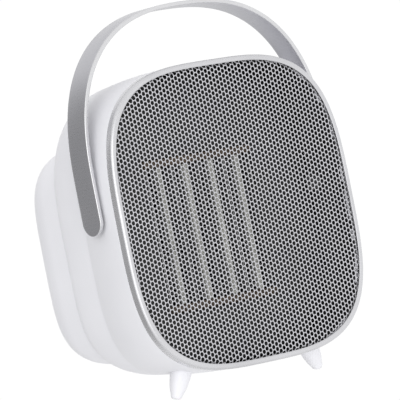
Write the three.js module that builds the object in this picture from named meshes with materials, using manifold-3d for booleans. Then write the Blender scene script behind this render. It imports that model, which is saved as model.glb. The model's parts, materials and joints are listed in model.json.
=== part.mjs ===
// Ceramic space heater on two splayed front feet, leaning back, with a strap handle.
// Units: millimetres. Final frame: X to the right, front faces -Y, +Z up, the floor at Z = 0.
//
// The body is modelled upright in its own frame and then leans back as one group:
//   x to the right, y up the face, z out of the face, z = 0 in the plane of the front grille.
import * as THREE from 'three';
import { mergeVertices } from 'three/addons/utils/BufferGeometryUtils.js';
import Module from 'manifold-3d';

const wasm = await Module();
wasm.setup();

// ---------------------------------------------------------------- driving dimensions
const LEAN_BACK_DEG = 17;         // how far the body leans back
const GRILLE_HEIGHT = 136.2;      // floor to the middle of the front grille
const GAP = 0.3;                  // assembly gap between touching pieces
const WALL = 2.5;                 // moulded wall thickness
const RING_SEGMENTS = 48;         // points round each lofted section

const FACE_HALF = 119;            // half size of the front shell at its mouth
const FACE_POWER = 3.37;          // superellipse exponent of the front outline
const SHELL_FRONT_Z = -6;
const SHELL_TURN_Z = -59;         // the shell tapers back to here, then turns in to the housing
const SHELL_BACK_Z = -94;
const SHELL_TURN_POWER = 4.1;
const TAPER_SIDE = 12;            // how far each side has come in where the shell turns
const TAPER_TOP = 3.1;
const TAPER_BOTTOM = 3.5;
const TAPER_POWER = 2.1;

const HOUSING_HALF_WIDTH = 101.6;
const HOUSING_HALF_HEIGHT = 88.95;
const HOUSING_CENTRE_Y = -11.75;
const HOUSING_POWER = 4.5;
const HOUSING_BEND_Z = -110.2;    // the sides run straight back to here, then curve in
const HOUSING_BEND_R = 38.5;
const INTAKE_INSET = 34;          // how far the intake opening is inset from the outline

const BEZEL_HALF = 119.5;
const LIP_HALF = 115.1;           // the opening that shows the grille
const GRILLE_HALF = 117;
const GRILLE_THICKNESS = 1;

const PIVOT_Y = 12;               // handle pivot, on the sides of the front shell
const PIVOT_Z = -29;
const STRAP_HALF_SPAN = 123.9;    // outside of the handle's legs; their insides clear the rim
const STRAP_THICKNESS = 3.2;
const STRAP_WIDTH = 22;
const STRAP_ARCH_Y = 40.2;        // straight legs up to here
const STRAP_TOP_Y = 169;
const STRAP_POWER = 2.54;
const PIN_R = 4;
const PIN_SEAT = 2;               // how deep each pin goes into the strap
const PIN_HEAD = 105;             // where the pins' heads begin, inside the shell

const AIR_Y = -9;                 // centre of the heating element and of the fan
const ELEMENT_FRONT_Z = -38;
const ELEMENT_DEPTH = 15;
const ELEMENT_HALF_WIDTH = 55;
const ELEMENT_HALF_HEIGHT = 60;
const RAIL_HEIGHT = 6;
const BAR_PITCH = 26.8;
const BAR_COUNT = 4;
const BAR_THICKNESS = 5;
const PLATE_THICKNESS = 1.2;
const FIN_SHEET = 0.5;
const FIN_FOLDS = 16;

const FAN_R = 48;
const FAN_Z = -78;                // middle of the impeller
const FAN_BLADES = 7;
const HUB_R = 15;
const HUB_DEPTH = 14;
const SHAFT_R = 1.6;
const MOTOR_R = 20;
const MOTOR_DEPTH = 26;
const SHROUD_Z = -96;             // back plate that carries the motor
const SHROUD_R = 51;

const PANEL_WIDTH = 112;
const PANEL_HEIGHT = 37;
const PANEL_THICKNESS = 7;
const PANEL_PROUD = -2;           // against the top of the bend, which the panel cuts off flat
const KNOB_R = 15;
const KNOB_HEIGHT = 16;
const KNOB_X = 30;
const KNOB_SHAFT_R = 3;

const FOOT_X = 75;                // where the front feet touch the floor
const FOOT_BODY_Y = -133.3;
const FOOT_BODY_Z = -30;
const FOOT_SPLAY = 0.443;         // sideways run per unit of height, in the body's frame
const FOOT_RAKE = 0.105;
const FOOT_TOP_R = 9;
const FOOT_TIP_R = 4.6;
const FOOT_LENGTH = 30;
const REAR_FOOT_WIDTH = 56;
const REAR_FOOT_DEPTH = 24;
const REAR_FOOT_BODY_Z = -122;
const REAR_PAD_X = 18;
const REAR_PAD_R = 7;
const REAR_PAD_HEIGHT = 2.6;

const PLUNGER_X = 42;
const PLUNGER_Z = -106;
const PLUNGER_R = 2.6;
const GLAND_X = 38;
const GLAND_BEND = Math.PI / 3;   // how far round the lower bend the cord gland sits
const GLAND_R = 6;
const GLAND_BORE_R = 3.9;
const SCREW_X = 73;
const SCREW_RISE = 42;
const SCREW_SEAT_Z = -141.5;
const CUTOUT_X = 28;              // thermal cutout, above the element
const CUTOUT_R = 8;

// ---------------------------------------------------------------- materials
function finish(color, roughness, metalness) {
  return new THREE.MeshStandardMaterial({ color, roughness, metalness });
}
const FINISH = {
  shell: finish(0xdfdfe3, 0.5, 0),
  silver: finish(0xc6c7cb, 0.35, 0.7),
  grille: finish(0xcfcfd2, 0.4, 0.8),
  strap: finish(0x9a9b9f, 0.4, 0.6),
  black: finish(0x1b1c1f, 0.7, 0),
  ceramic: finish(0xcfc7b4, 0.8, 0),
  aluminium: finish(0x8d9094, 0.5, 0.8),
  mica: finish(0x3a322a, 0.8, 0),
  steel: finish(0xa9abad, 0.4, 0.9),
  rubber: finish(0x2a2a2c, 0.9, 0),
  lamp: finish(0xc2572a, 0.3, 0),
};

// ---------------------------------------------------------------- geometry helpers
function superellipse(halfWidth, halfHeight, power, centreY, count = RING_SEGMENTS) {
  const points = [];
  for (let i = 0; i < count; i += 1) {
    const angle = (i / count) * Math.PI * 2;
    const c = Math.cos(angle);
    const s = Math.sin(angle);
    const x = halfWidth * Math.sign(c) * Math.abs(c) ** (2 / power);
    const y = halfHeight * Math.sign(s) * Math.abs(s) ** (2 / power);
    points.push(new THREE.Vector2(x, centreY + y));
  }
  return points;
}

function ring(z, halfWidth, halfHeight, power, centreY) {
  return superellipse(halfWidth, halfHeight, power, centreY).map((p) => new THREE.Vector3(p.x, p.y, z));
}

// Skins a list of rings, each later ring towards -z. A looped list closes on itself, as a tube's
// wall does; any other list gets a flat cap at each end.
function loft(rings, looped) {
  const count = rings[0].length;
  const positions = rings.flat().flatMap((p) => [p.x, p.y, p.z]);
  const indices = [];
  const bands = looped ? rings.length : rings.length - 1;
  for (let band = 0; band < bands; band += 1) {
    const here = band * count;
    const next = ((band + 1) % rings.length) * count;
    for (let i = 0; i < count; i += 1) {
      const j = (i + 1) % count;
      indices.push(here + i, next + i, here + j);
      indices.push(here + j, next + i, next + j);
    }
  }
  if (!looped) {
    const last = (rings.length - 1) * count;
    for (let i = 1; i < count - 1; i += 1) {
      indices.push(0, i, i + 1);
      indices.push(last, last + i + 1, last + i);
    }
  }
  const geometry = new THREE.BufferGeometry();
  geometry.setAttribute('position', new THREE.Float32BufferAttribute(positions, 3));
  geometry.setIndex(indices);
  return geometry;
}

function toSolid(geometry) {
  const bare = geometry.clone();
  bare.deleteAttribute('normal');
  bare.deleteAttribute('uv');
  const merged = mergeVertices(bare, 1e-4);
  return new wasm.Manifold(new wasm.Mesh({
    numProp: 3,
    vertProperties: new Float32Array(merged.attributes.position.array),
    triVerts: new Uint32Array(merged.index.array),
  }));
}

function toGeometry(solid) {
  const mesh = solid.getMesh();
  const geometry = new THREE.BufferGeometry();
  geometry.setAttribute('position', new THREE.Float32BufferAttribute(mesh.vertProperties, 3));
  geometry.setIndex(new THREE.Uint32BufferAttribute(mesh.triVerts, 1));
  return geometry;
}

function joined(geometries) {
  return geometries.map(toSolid).reduce((sum, solid) => sum.add(solid));
}

function cut(geometry, cutters) {
  return toGeometry(cutters.map(toSolid).reduce((rest, solid) => rest.subtract(solid), toSolid(geometry)));
}

function box(width, height, depth, x = 0, y = 0, z = 0) {
  return new THREE.BoxGeometry(width, height, depth).translate(x, y, z);
}

// A cylinder whose axis is z, from zLow to zHigh.
function rod(radius, zLow, zHigh, x = 0, y = 0, segments = 24) {
  const geometry = new THREE.CylinderGeometry(radius, radius, zHigh - zLow, segments);
  return geometry.rotateX(Math.PI / 2).translate(x, y, (zLow + zHigh) / 2);
}

// A turned piece about z: the profile is a list of [radius, z], starting and ending on the axis
// or closing on itself.
function turned(profile, segments = 24) {
  const points = profile.map(([r, z]) => new THREE.Vector2(r, z));
  return new THREE.LatheGeometry(points, segments).rotateX(Math.PI / 2);
}

function roundedRect(width, height, radius) {
  const w = width / 2 - radius;
  const h = height / 2 - radius;
  const shape = new THREE.Shape();
  shape.absarc(w, h, radius, 0, Math.PI / 2);
  shape.absarc(-w, h, radius, Math.PI / 2, Math.PI);
  shape.absarc(-w, -h, radius, Math.PI, Math.PI * 1.5);
  shape.absarc(w, -h, radius, Math.PI * 1.5, Math.PI * 2);
  shape.closePath();
  return shape;
}

function prism(shape, depth, zLow, curveSegments = 6) {
  const geometry = new THREE.ExtrudeGeometry(shape, { depth, bevelEnabled: false, curveSegments });
  return geometry.translate(0, 0, zLow);
}

function circlePath(radius, x, y) {
  const path = new THREE.Path();
  path.absarc(x, y, radius, 0, Math.PI * 2, true);
  return path;
}

// ---------------------------------------------------------------- shells
function faceRing(z, half) {
  return ring(z, half, half, FACE_POWER, 0);
}

function mix(a, b, share) {
  return a + (b - a) * share;
}

// One section of the front shell from its four extents.
function shellRing(z, side, top, bottom, power) {
  return ring(z, side, (top - bottom) / 2, power, (top + bottom) / 2);
}

// The shell tapers back from its mouth and then turns in to meet the housing's outline.
// A positive inset gives the inner surface.
function shellSections(inset) {
  const back = {
    side: HOUSING_HALF_WIDTH - inset,
    top: HOUSING_CENTRE_Y + HOUSING_HALF_HEIGHT - inset,
    bottom: HOUSING_CENTRE_Y - HOUSING_HALF_HEIGHT + inset,
  };
  const taper = (share) => ({
    side: FACE_HALF - TAPER_SIDE * share - inset,
    top: FACE_HALF - TAPER_TOP * share - inset,
    bottom: -FACE_HALF + TAPER_BOTTOM * share + inset,
  });
  const sections = [];
  const taperSteps = 4;
  for (let i = 0; i < taperSteps; i += 1) {
    const way = i / taperSteps;
    const { side, top, bottom } = taper(way ** TAPER_POWER);
    const z = mix(SHELL_FRONT_Z, SHELL_TURN_Z, way);
    sections.push(shellRing(z, side, top, bottom, mix(FACE_POWER, SHELL_TURN_POWER, way)));
  }
  const front = taper(1);
  const turnSteps = 6;
  for (let i = 0; i <= turnSteps; i += 1) {
    const angle = (i / turnSteps) * (Math.PI / 2);
    const share = 1 - Math.cos(angle);
    const z = mix(SHELL_TURN_Z, SHELL_BACK_Z + Math.max(inset, 0), Math.sin(angle));
    sections.push(shellRing(
      z,
      mix(front.side, back.side, share),
      mix(front.top, back.top, share),
      mix(front.bottom, back.bottom, share),
      mix(SHELL_TURN_POWER, HOUSING_POWER, share),
    ));
  }
  return sections;
}

function frontShell() {
  const shell = loft([...shellSections(0), ...shellSections(WALL).reverse()], true);
  const bores = [-1, 1].map((side) => {
    const bore = rod(PIN_R + 2.3, -8, 8).rotateY(Math.PI / 2);
    return bore.translate(side * FACE_HALF, PIVOT_Y, PIVOT_Z);
  });
  return cut(shell, bores);
}

function housingSection(angle, wall) {
  const radius = HOUSING_BEND_R - wall;
  const inset = wall + radius * (1 - Math.cos(angle));
  const z = HOUSING_BEND_Z - radius * Math.sin(angle);
  const width = HOUSING_HALF_WIDTH - inset;
  const height = HOUSING_HALF_HEIGHT - inset;
  return ring(z, width, height, HOUSING_POWER, HOUSING_CENTRE_Y);
}

// The bend as seen from outside (wall 0) or inside (wall WALL), stopping at the intake opening.
function housingBend(wall, steps) {
  const radius = HOUSING_BEND_R - wall;
  const last = Math.acos(1 - (INTAKE_INSET - wall) / radius);
  const sections = [];
  for (let i = 0; i <= steps; i += 1) sections.push(housingSection((last * i) / steps, wall));
  return sections;
}

function housingStart(wall) {
  const width = HOUSING_HALF_WIDTH - wall;
  const height = HOUSING_HALF_HEIGHT - wall;
  return ring(SHELL_BACK_Z - GAP, width, height, HOUSING_POWER, HOUSING_CENTRE_Y);
}

// Frame of the control panel: on the middle of the upper bend, facing up and back at 45 degrees.
// Its x runs to the right and its y up for someone who looks at the panel from behind the heater.
const PANEL_TILT = Math.PI / 4;
const panelOrigin = new THREE.Vector3(
  0,
  HOUSING_CENTRE_Y + HOUSING_HALF_HEIGHT - HOUSING_BEND_R * (1 - Math.cos(PANEL_TILT)),
  HOUSING_BEND_Z - HOUSING_BEND_R * Math.sin(PANEL_TILT),
);
function panelMatrix() {
  const turn = new THREE.Matrix4().makeRotationX(-Math.PI / 2 - PANEL_TILT);
  turn.multiply(new THREE.Matrix4().makeRotationZ(Math.PI));
  return turn.setPosition(panelOrigin);
}

function screwPlaces() {
  const places = [];
  for (const sideX of [-1, 1]) {
    for (const sideY of [-1, 1]) places.push([sideX * SCREW_X, HOUSING_CENTRE_Y + sideY * SCREW_RISE]);
  }
  return places;
}

function rearHousing() {
  const outside = [housingStart(0), ...housingBend(0, 6)];
  const inside = [housingStart(WALL), ...housingBend(WALL, 6)];
  const bosses = screwPlaces().map(([x, y]) => rod(6.5, SCREW_SEAT_Z - 1, -124, x, y, 12));
  let housing = joined([loft([...outside, ...inside.reverse()], true), ...bosses]);
  const window = prism(roundedRect(PANEL_WIDTH + 2 * GAP, PANEL_HEIGHT + 2 * GAP, 8), 30, -18)
    .applyMatrix4(panelMatrix());
  const seats = screwPlaces().map(([x, y]) => rod(4.8, -160, SCREW_SEAT_Z, x, y, 14));
  const holes = screwPlaces().map(([x, y]) => rod(2.2, -160, -110, x, y, 10));
  const plungerHole = rod(PLUNGER_R + 0.5, -10, 10).rotateX(Math.PI / 2)
    .translate(PLUNGER_X, HOUSING_CENTRE_Y - HOUSING_HALF_HEIGHT, PLUNGER_Z);
  const glandHole = onLowerBend(rod(GLAND_R + GAP, -12, 8));
  for (const cutter of [window, ...seats, ...holes, plungerHole, glandHole]) {
    housing = housing.subtract(toSolid(cutter));
  }
  return toGeometry(housing);
}

// Moves a piece modelled along z out of the housing's lower bend to the gland's place on it.
function onLowerBend(geometry) {
  const bottom = HOUSING_CENTRE_Y - HOUSING_HALF_HEIGHT;
  const y = bottom + HOUSING_BEND_R * (1 - Math.cos(GLAND_BEND));
  const z = HOUSING_BEND_Z - HOUSING_BEND_R * Math.sin(GLAND_BEND);
  return geometry.rotateX(Math.PI / 2 + GLAND_BEND).translate(GLAND_X, y, z);
}

function frontFrame() {
  // The section of the rim, from its outer back edge round the lip to its inner back edge.
  const rim = [
    [SHELL_FRONT_Z + GAP, BEZEL_HALF - 0.3],
    [-0.4, BEZEL_HALF],
    [0.9, BEZEL_HALF - 0.8],
    [1.5, BEZEL_HALF - 2.1],
    [1.5, BEZEL_HALF - 3.2],
    [1.2, LIP_HALF],
    [0.8, LIP_HALF],
    [0.8, GRILLE_HALF + 0.4],
    [SHELL_FRONT_Z + GAP, GRILLE_HALF + 0.4],
  ];
  return loft(rim.map(([z, half]) => faceRing(z, half)).reverse(), true);
}

function frontGrille() {
  const half = GRILLE_THICKNESS / 2;
  return loft([faceRing(half, GRILLE_HALF), faceRing(-half, GRILLE_HALF)], false);
}

function rearGrille() {
  const halfWidth = HOUSING_HALF_WIDTH - INTAKE_INSET - 0.5;
  const halfHeight = HOUSING_HALF_HEIGHT - INTAKE_INSET - 0.5;
  const outline = superellipse(halfWidth, halfHeight, HOUSING_POWER, HOUSING_CENTRE_Y, 40);
  const shape = new THREE.Shape(outline);
  const slotHeight = 4.4;
  const slotPitch = 8.8;
  const rows = 5;
  for (let row = -rows; row <= rows; row += 1) {
    for (const side of [-1, 1]) {
      const y = HOUSING_CENTRE_Y + row * slotPitch;
      const reach = Math.abs(row) === rows ? 44 : 56;
      const middle = (side * (4 + reach)) / 2;
      const half = (reach - 4) / 2 - slotHeight / 2;
      const slot = new THREE.Path();
      slot.absarc(middle + half, y, slotHeight / 2, -Math.PI / 2, Math.PI / 2);
      slot.absarc(middle - half, y, slotHeight / 2, Math.PI / 2, Math.PI * 1.5);
      slot.closePath();
      shape.holes.push(slot);
    }
  }
  return prism(shape, 2.5, -149, 3);
}

// ---------------------------------------------------------------- air path and heating element
function ductBaffle() {
  const wallX = ELEMENT_HALF_WIDTH + 0.6;
  const wallY = ELEMENT_HALF_HEIGHT + 0.6;
  const flange = new THREE.Shape(superellipse(110.5, 114.4, FACE_POWER, 0, 40));
  flange.holes.push(new THREE.Path(rectangle(wallX, wallY)));
  const sleeve = new THREE.Shape(rectangle(wallX + 2, wallY + 2));
  sleeve.holes.push(new THREE.Path(rectangle(wallX, wallY)));
  const plate = prism(flange, 2, ELEMENT_FRONT_Z - 2);
  const tube = prism(sleeve, 24, ELEMENT_FRONT_Z - 25);
  return toGeometry(joined([plate, tube]));
}

function rectangle(halfWidth, halfHeight) {
  return [[-1, -1], [1, -1], [1, 1], [-1, 1]]
    .map(([sx, sy]) => new THREE.Vector2(sx * halfWidth, AIR_Y + sy * halfHeight));
}

const elementMidZ = ELEMENT_FRONT_Z - ELEMENT_DEPTH / 2;
const barLength = 2 * (ELEMENT_HALF_HEIGHT - RAIL_HEIGHT - GAP);
const finCell = (BAR_PITCH - BAR_THICKNESS - PLATE_THICKNESS) / 2 - 0.2;

function elementRail(side) {
  const y = AIR_Y + side * (ELEMENT_HALF_HEIGHT - RAIL_HEIGHT / 2);
  return box(2 * ELEMENT_HALF_WIDTH, RAIL_HEIGHT, ELEMENT_DEPTH + 2, 0, y, elementMidZ);
}

function verticalBar(x, thickness, depth) {
  return box(thickness, barLength, depth, x, AIR_Y, elementMidZ);
}

// A folded fin: one thin sheet that zigzags between two bars over the element's height.
function finPack(x) {
  const front = [];
  const back = [];
  const length = barLength - 2 * FIN_SHEET;
  for (let i = 0; i <= FIN_FOLDS; i += 1) {
    const y = AIR_Y + (i / FIN_FOLDS - 0.5) * length;
    const fold = x + (i % 2 === 0 ? -1 : 1) * (finCell / 2 - FIN_SHEET);
    front.push(new THREE.Vector2(fold + FIN_SHEET, y));
    back.push(new THREE.Vector2(fold - FIN_SHEET, y));
  }
  const shape = new THREE.Shape([...front, ...back.reverse()]);
  return prism(shape, ELEMENT_DEPTH - 2, elementMidZ - (ELEMENT_DEPTH - 2) / 2);
}

function thermalCutout() {
  const profile = [[0, -4], [CUTOUT_R, -4], [CUTOUT_R, 2], [CUTOUT_R - 2.5, 4], [0, 4]];
  const y = AIR_Y + ELEMENT_HALF_HEIGHT + 7.4;
  return turned(profile, 20).rotateX(-Math.PI / 2).translate(CUTOUT_X, y, ELEMENT_FRONT_Z - 12);
}

// ---------------------------------------------------------------- fan
function fanShroud() {
  const halfWidth = HOUSING_HALF_WIDTH - WALL - 1;
  const halfHeight = HOUSING_HALF_HEIGHT - WALL - 1;
  const outline = superellipse(halfWidth, halfHeight, HOUSING_POWER, HOUSING_CENTRE_Y, 40);
  const shape = new THREE.Shape(outline);
  shape.holes.push(circlePath(SHROUD_R, 0, AIR_Y));
  const plate = prism(shape, 2.5, SHROUD_Z, 10);
  const collar = new THREE.Shape();
  collar.absarc(0, AIR_Y, SHROUD_R + 2, 0, Math.PI * 2);
  collar.holes.push(circlePath(SHROUD_R, 0, AIR_Y));
  const tunnel = prism(collar, 28, SHROUD_Z + 1, 10);
  const seat = new THREE.Shape();
  seat.absarc(0, AIR_Y, MOTOR_R + 3, 0, Math.PI * 2);
  seat.holes.push(circlePath(MOTOR_R + 2 * GAP, 0, AIR_Y));
  const motorRing = prism(seat, 8, SHROUD_Z, 16);
  const spokes = [0, 1, 2, 3].map((i) => {
    const spoke = box(SHROUD_R - MOTOR_R, 5, 4, (SHROUD_R + MOTOR_R) / 2 + 1.5, 0, SHROUD_Z + 2);
    return spoke.rotateZ(Math.PI / 4 + (i * Math.PI) / 2).translate(0, AIR_Y, 0);
  });
  return toGeometry(joined([plate, tunnel, motorRing, ...spokes]));
}

const motorFrontZ = FAN_Z - HUB_DEPTH / 2 - 3;

function fanMotor() {
  const back = motorFrontZ - MOTOR_DEPTH;
  const bore = SHAFT_R + 0.08;
  const profile = [
    [0, back - 4], [6, back - 4], [6, back], [MOTOR_R, back], [MOTOR_R, motorFrontZ - 3],
    [MOTOR_R - 2, motorFrontZ - 1], [6, motorFrontZ - 1], [6, motorFrontZ],
    [bore, motorFrontZ], [bore, motorFrontZ - 14], [0, motorFrontZ - 14],
  ];
  return turned(profile).translate(0, AIR_Y, 0);
}

function motorShaft() {
  return rod(SHAFT_R, motorFrontZ - 13, FAN_Z + HUB_DEPTH / 2 + 2, 0, AIR_Y, 16);
}

function fanImpeller() {
  const low = FAN_Z - HUB_DEPTH / 2;
  const high = FAN_Z + HUB_DEPTH / 2;
  const bore = SHAFT_R + 0.05;
  const hub = turned([
    [bore, low], [HUB_R, low], [HUB_R, high - 3], [HUB_R - 3, high], [bore, high], [bore, low],
  ]);
  const span = FAN_R - HUB_R + 2;
  const blades = [];
  for (let i = 0; i < FAN_BLADES; i += 1) {
    const blade = box(span, 24, 1.8, HUB_R - 2 + span / 2, 0, 0).rotateX(THREE.MathUtils.degToRad(32));
    blades.push(blade.rotateZ((i / FAN_BLADES) * Math.PI * 2).translate(0, 0, FAN_Z));
  }
  return toGeometry(joined([hub, ...blades])).translate(0, AIR_Y, 0);
}

// ---------------------------------------------------------------- handle
// The handle's centre plane as a half superellipse on straight legs, seen from the front.
function strapOutline(inset) {
  const half = STRAP_HALF_SPAN - inset;
  const rise = STRAP_TOP_Y - STRAP_ARCH_Y - inset;
  const foot = PIVOT_Y - STRAP_WIDTH / 2 - 1;
  const steps = 44;
  const points = [new THREE.Vector2(half, foot)];
  for (let i = 0; i <= steps; i += 1) {
    const angle = (i / steps) * Math.PI;
    const c = Math.cos(angle);
    const x = half * Math.sign(c) * Math.abs(c) ** (2 / STRAP_POWER);
    const y = STRAP_ARCH_Y + rise * Math.sin(angle) ** (2 / STRAP_POWER);
    points.push(new THREE.Vector2(x, y));
  }
  points.push(new THREE.Vector2(-half, foot));
  return points;
}

function handle() {
  const band = new THREE.Shape([...strapOutline(0), ...strapOutline(STRAP_THICKNESS).reverse()]);
  const strap = prism(band, STRAP_WIDTH, PIVOT_Z - STRAP_WIDTH / 2);
  // Seen from the side, each leg ends in a half circle about the pivot.
  const radius = STRAP_WIDTH / 2;
  const side = new THREE.Shape();
  side.moveTo(radius, PIVOT_Y + 200);
  side.lineTo(-radius, PIVOT_Y + 200);
  side.absarc(0, PIVOT_Y, radius, Math.PI, Math.PI * 2);
  side.closePath();
  const outline = prism(side, 2 * STRAP_HALF_SPAN + 4, -STRAP_HALF_SPAN - 2, 12);
  outline.rotateY(-Math.PI / 2).translate(0, 0, PIVOT_Z);
  let solid = toSolid(strap).intersect(toSolid(outline));
  for (const sign of [-1, 1]) {
    const face = STRAP_HALF_SPAN - STRAP_THICKNESS;
    const seat = rod(PIN_R + 0.05, -PIN_SEAT, PIN_SEAT).rotateY(Math.PI / 2);
    seat.translate(sign * face, PIVOT_Y, PIVOT_Z);
    solid = solid.subtract(toSolid(seat));
  }
  return toGeometry(solid);
}

// Pin with a head inside the shell; it is fixed in the strap and turns in the bush.
function handlePin(side) {
  const face = STRAP_HALF_SPAN - STRAP_THICKNESS;
  const tip = face + PIN_SEAT - 0.1;
  const headR = PIN_R + 2.5;
  const headEnd = PIN_HEAD + 3;
  const profile = [
    [0, PIN_HEAD], [headR, PIN_HEAD], [headR, headEnd], [PIN_R, headEnd], [PIN_R, tip], [0, tip],
  ];
  return turned(profile).rotateY((side * Math.PI) / 2).translate(0, PIVOT_Y, PIVOT_Z);
}

function handleBush(side) {
  const bore = PIN_R + 0.1;
  const outer = STRAP_HALF_SPAN - STRAP_THICKNESS - 0.25;
  const profile = [
    [bore, 110], [PIN_R + 2, 110], [PIN_R + 2, outer - 0.7], [PIN_R + 4.2, outer - 0.7],
    [PIN_R + 4.2, outer], [bore, outer], [bore, 110],
  ];
  return turned(profile).rotateY((side * Math.PI) / 2).translate(0, PIVOT_Y, PIVOT_Z);
}

// ---------------------------------------------------------------- controls, in the panel's frame
function controlPanel() {
  const shape = roundedRect(PANEL_WIDTH, PANEL_HEIGHT, 8);
  for (const side of [-1, 1]) shape.holes.push(circlePath(KNOB_SHAFT_R + 0.6, side * KNOB_X, 0));
  shape.holes.push(circlePath(2.6, 0, 8));
  return prism(shape, PANEL_THICKNESS, PANEL_PROUD - PANEL_THICKNESS, 5);
}

function knob() {
  const base = PANEL_PROUD + 0.6;
  const top = base + KNOB_HEIGHT;
  const profile = [
    [0, PANEL_PROUD - PANEL_THICKNESS - 7], [KNOB_SHAFT_R, PANEL_PROUD - PANEL_THICKNESS - 7],
    [KNOB_SHAFT_R, base], [KNOB_R, base], [KNOB_R, base + 3], [KNOB_R - 2, base + 4.5],
    [KNOB_R - 3, top - 2], [KNOB_R - 5, top], [0, top],
  ];
  const body = turned(profile, 24);
  const pointer = box(2, 7, 1.2, 0, KNOB_R - 8.5, top + 0.3);
  return toGeometry(joined([body, pointer]));
}

// A switch body under the panel with a blind bore for the knob's shaft.
function switchBody(width, height, depth) {
  const top = PANEL_PROUD - PANEL_THICKNESS - GAP;
  const block = box(width, height, depth, 0, 0, top - depth / 2);
  return cut(block, [rod(KNOB_SHAFT_R + 0.5, top - 8, top + 2)]);
}

function pilotLamp() {
  const base = PANEL_PROUD - 5;
  const profile = [[0, base], [2.3, base], [2.3, base + 5.4], [1.4, base + 6], [0, base + 6]];
  return turned(profile, 16).translate(0, 8, 0);
}

// ---------------------------------------------------------------- small fittings
const lean = THREE.MathUtils.degToRad(LEAN_BACK_DEG);

// The y at which a point of the body's frame with this z touches the floor.
function floorY(z) {
  return (-GRILLE_HEIGHT - z * Math.sin(lean)) / Math.cos(lean);
}

function tipSwitch() {
  const y = HOUSING_CENTRE_Y - HOUSING_HALF_HEIGHT + WALL + 15;
  return cut(box(15, 24, 11, PLUNGER_X, y, PLUNGER_Z), [
    rod(PLUNGER_R + 0.3, -10, 10).rotateX(Math.PI / 2).translate(PLUNGER_X, y - 8, PLUNGER_Z),
  ]);
}

function tipPlunger() {
  const tip = floorY(PLUNGER_Z) + 1.1;
  const top = HOUSING_CENTRE_Y - HOUSING_HALF_HEIGHT + WALL + 12;
  const profile = [[0, tip], [1.6, tip + 0.4], [PLUNGER_R, tip + 2], [PLUNGER_R, top], [0, top]];
  return turned(profile, 20).rotateX(-Math.PI / 2).translate(PLUNGER_X, 0, PLUNGER_Z);
}

function cordGland() {
  const profile = [
    [GLAND_BORE_R, -12], [GLAND_R, -12], [GLAND_R, 0.8], [GLAND_R + 1.6, 0.8], [GLAND_R + 1.6, 2.4],
    [GLAND_R + 0.6, 6.5], [GLAND_BORE_R, 6.5], [GLAND_BORE_R, -12],
  ];
  return onLowerBend(turned(profile));
}

function rearScrew() {
  const seat = SCREW_SEAT_Z - GAP;
  const profile = [
    [0, seat - 3], [2.6, seat - 3], [4, seat - 1.6], [4, seat],
    [1.8, seat], [1.8, seat + 22], [0.6, seat + 24], [0, seat + 24],
  ];
  return turned(profile, 12);
}

// ---------------------------------------------------------------- feet, in the final frame
// A point of the leaning body in the final frame, before the origin is moved.
function onFloorFrame(x, y, z) {
  const point = new THREE.Vector3(x, y, z).applyAxisAngle(new THREE.Vector3(1, 0, 0), Math.PI / 2 - lean);
  return point.add(new THREE.Vector3(0, 0, GRILLE_HEIGHT));
}

function leaned(geometry) {
  return geometry.rotateX(Math.PI / 2 - lean).translate(0, 0, GRILLE_HEIGHT);
}

const belowFloor = () => box(400, 400, 50, 0, 0, -25);

function frontFoot(side) {
  const profile = [[0, 0]];
  const steps = 5;
  for (let i = 1; i <= steps; i += 1) {
    const angle = (i / steps) * (Math.PI / 2);
    profile.push([FOOT_TIP_R * Math.sin(angle), FOOT_TIP_R * (1 - Math.cos(angle))]);
  }
  profile.push([FOOT_TOP_R, FOOT_LENGTH], [0, FOOT_LENGTH]);
  const cone = turned(profile.map(([r, z]) => [r, z - 1.1]), 24);
  const upBody = new THREE.Vector3(-side * FOOT_SPLAY, 1, FOOT_RAKE).normalize();
  const up = upBody.applyAxisAngle(new THREE.Vector3(1, 0, 0), Math.PI / 2 - lean);
  cone.applyQuaternion(new THREE.Quaternion().setFromUnitVectors(new THREE.Vector3(0, 0, 1), up));
  const tip = onFloorFrame(side * FOOT_X, FOOT_BODY_Y, FOOT_BODY_Z);
  cone.translate(tip.x, tip.y, 0);
  return cut(cone, [belowFloor(), leaned(loft(shellSections(-GAP), false))]);
}

function housingOutside() {
  return loft([housingStart(-GAP), ...housingBend(-GAP, 6)], false);
}

const rearFootPlace = onFloorFrame(0, floorY(REAR_FOOT_BODY_Z), REAR_FOOT_BODY_Z);

function rearFoot() {
  const block = prism(roundedRect(REAR_FOOT_WIDTH, REAR_FOOT_DEPTH, 8), 22, REAR_PAD_HEIGHT - 0.6);
  block.translate(0, rearFootPlace.y, 0);
  const sockets = [-1, 1].map((side) => rod(
    REAR_PAD_R + 0.2, -1, REAR_PAD_HEIGHT + GAP, side * REAR_PAD_X, rearFootPlace.y,
  ));
  return cut(block, [leaned(housingOutside()), ...sockets]);
}

function rearPad(side) {
  return rod(REAR_PAD_R, 0, REAR_PAD_HEIGHT, side * REAR_PAD_X, rearFootPlace.y, 28);
}

// ---------------------------------------------------------------- assembly
const heater = new THREE.Group();
const body = new THREE.Group();
body.rotation.x = Math.PI / 2 - lean;
body.position.z = GRILLE_HEIGHT;
heater.add(body);
const panel = new THREE.Group();
panel.applyMatrix4(panelMatrix());
body.add(panel);

function place(parent, name, geometry, material) {
  const mesh = new THREE.Mesh(geometry, material);
  mesh.name = name;
  parent.add(mesh);
  return mesh;
}

place(body, 'front_frame', frontFrame(), FINISH.silver);
place(body, 'front_grille', frontGrille(), FINISH.grille);
place(body, 'front_shell', frontShell(), FINISH.shell);
place(body, 'rear_housing', rearHousing(), FINISH.shell);
place(body, 'rear_grille', rearGrille(), FINISH.shell);
place(body, 'duct_baffle', ductBaffle(), FINISH.black);

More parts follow.
